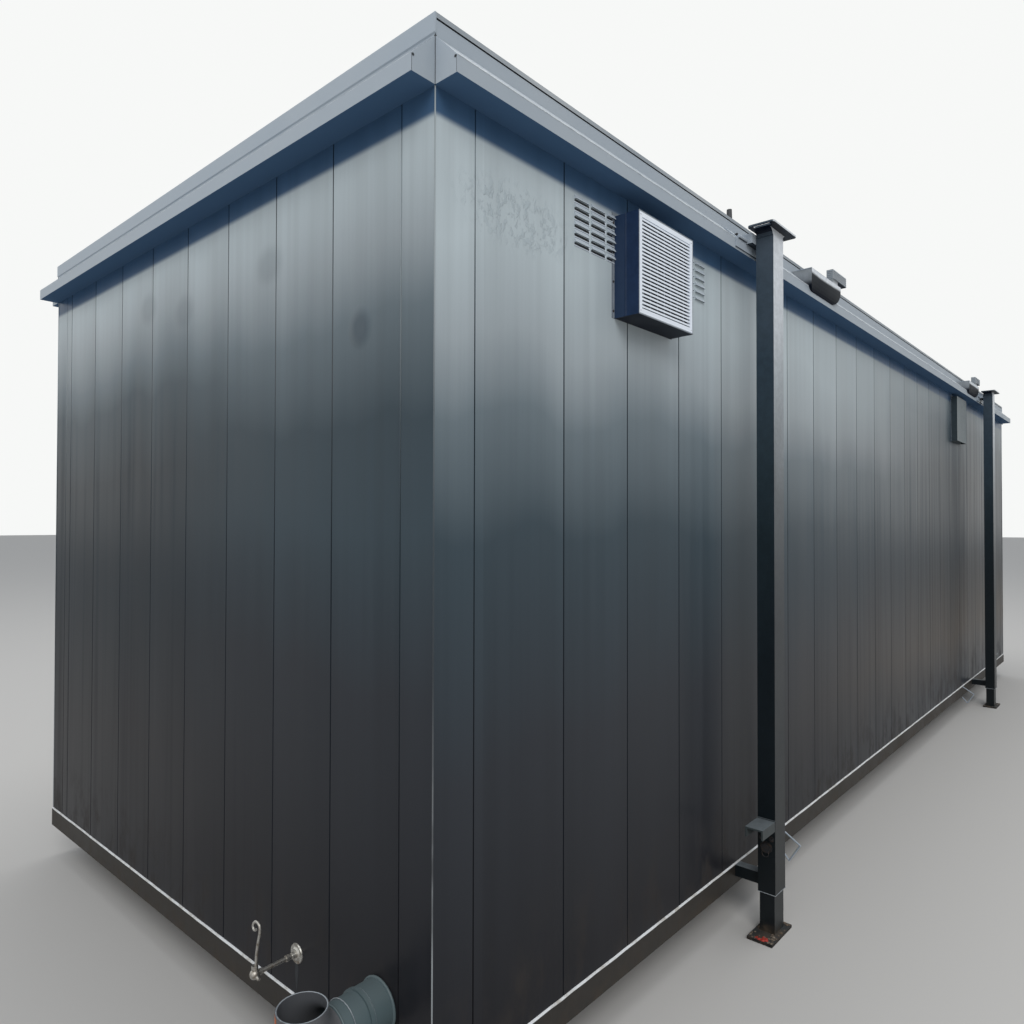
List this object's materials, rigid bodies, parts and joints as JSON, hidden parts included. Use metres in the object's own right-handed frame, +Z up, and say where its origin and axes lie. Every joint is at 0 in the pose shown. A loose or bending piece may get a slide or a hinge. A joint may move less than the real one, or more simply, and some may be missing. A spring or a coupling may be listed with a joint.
{
  "type": "portable site cabin",
  "caption": "Portable steel site cabin with ribbed walls, boxed eaves, roof lifting brackets, telescopic corner legs on foot plates, a fan hood, louvres and drain and water stubs.",
  "frame": {"origin": "centre of the whole outline in plan, on the ground under the feet", "axes": "+X along the cabin from the piped end to the plain end, -Y out of the side with the fan hood, +Z up"},
  "size_m": [7.652, 2.819, 2.6916],
  "materials": {
    "wall_paint": "semi-gloss slate blue-grey paint, dusty, with faint rain streaks",
    "frame_paint": "dark grey paint, muddy and scuffed",
    "deck_board": "resin-faced floor board, raw underneath",
    "roof_paint": "weathered slate-grey coated sheet",
    "eave_paint": "semi-gloss slate blue-grey paint with dents and dirt runs",
    "leg_paint": "dark slate paint, worn at the edges",
    "inner_leg_paint": "dark paint rubbed by sliding",
    "foot_paint": "rusty steel under dried mud",
    "zinc_steel": "dull zinc",
    "vent_paint": "slate paint, dusty",
    "grille_paint": "lighter grey paint, dusty",
    "vent_plastic": "weathered dark plastic",
    "grey_plastic": "grey drain plastic, dusty",
    "water_metal": "dull tarnished metal"
  },
  "bodies": {
    "cabin": {"front_rail": "frame_paint", "rear_rail": "frame_paint", "left_end_rail": "frame_paint", "right_end_rail": "frame_paint", "floor_joists": "frame_paint", "floor_deck": "deck_board", "front_wall": "wall_paint", "rear_wall": "wall_paint", "left_end_wall": "wall_paint", "right_end_wall": "wall_paint", "corner_posts": "wall_paint", "roof_deck": "roof_paint", "roof_edge_strip": "eave_paint", "fascia": "eave_paint", "front_eave": "eave_paint", "rear_eave": "eave_paint", "left_eave": "eave_paint", "right_eave": "eave_paint", "outer_leg_1": "leg_paint", "outer_leg_2": "leg_paint", "outer_leg_3": "leg_paint", "outer_leg_4": "leg_paint", "leg_caps": "leg_paint", "head_brackets": "leg_paint", "lower_outriggers": "leg_paint", "jacking_brackets": "leg_paint", "lock_pins": "zinc_steel", "lifting_brackets": "leg_paint", "wall_louvre": "vent_paint", "fan_hood": "vent_paint", "fan_grille": "grille_paint", "small_vent_hood": "vent_paint", "roof_vent": "vent_plastic", "soil_pipe": "grey_plastic", "soil_elbow": "grey_plastic", "water_inlet": "water_metal"},
    "leg_1": {"inner_leg_1": "inner_leg_paint", "foot_plate_1": "foot_paint"},
    "leg_2": {"inner_leg_2": "inner_leg_paint", "foot_plate_2": "foot_paint"},
    "leg_3": {"inner_leg_3": "inner_leg_paint", "foot_plate_3": "foot_paint"},
    "leg_4": {"inner_leg_4": "inner_leg_paint", "foot_plate_4": "foot_paint"}
  },
  "joints": [
    {"name": "leg_1_slide", "type": "slide", "parent": "cabin", "child": "leg_1", "axis": [0, 0, -1], "range_m": [0, 0.45]},
    {"name": "leg_2_slide", "type": "slide", "parent": "cabin", "child": "leg_2", "axis": [0, 0, -1], "range_m": [0, 0.45]},
    {"name": "leg_3_slide", "type": "slide", "parent": "cabin", "child": "leg_3", "axis": [0, 0, -1], "range_m": [0, 0.45]},
    {"name": "leg_4_slide", "type": "slide", "parent": "cabin", "child": "leg_4", "axis": [0, 0, -1], "range_m": [0, 0.45]}
  ]
}
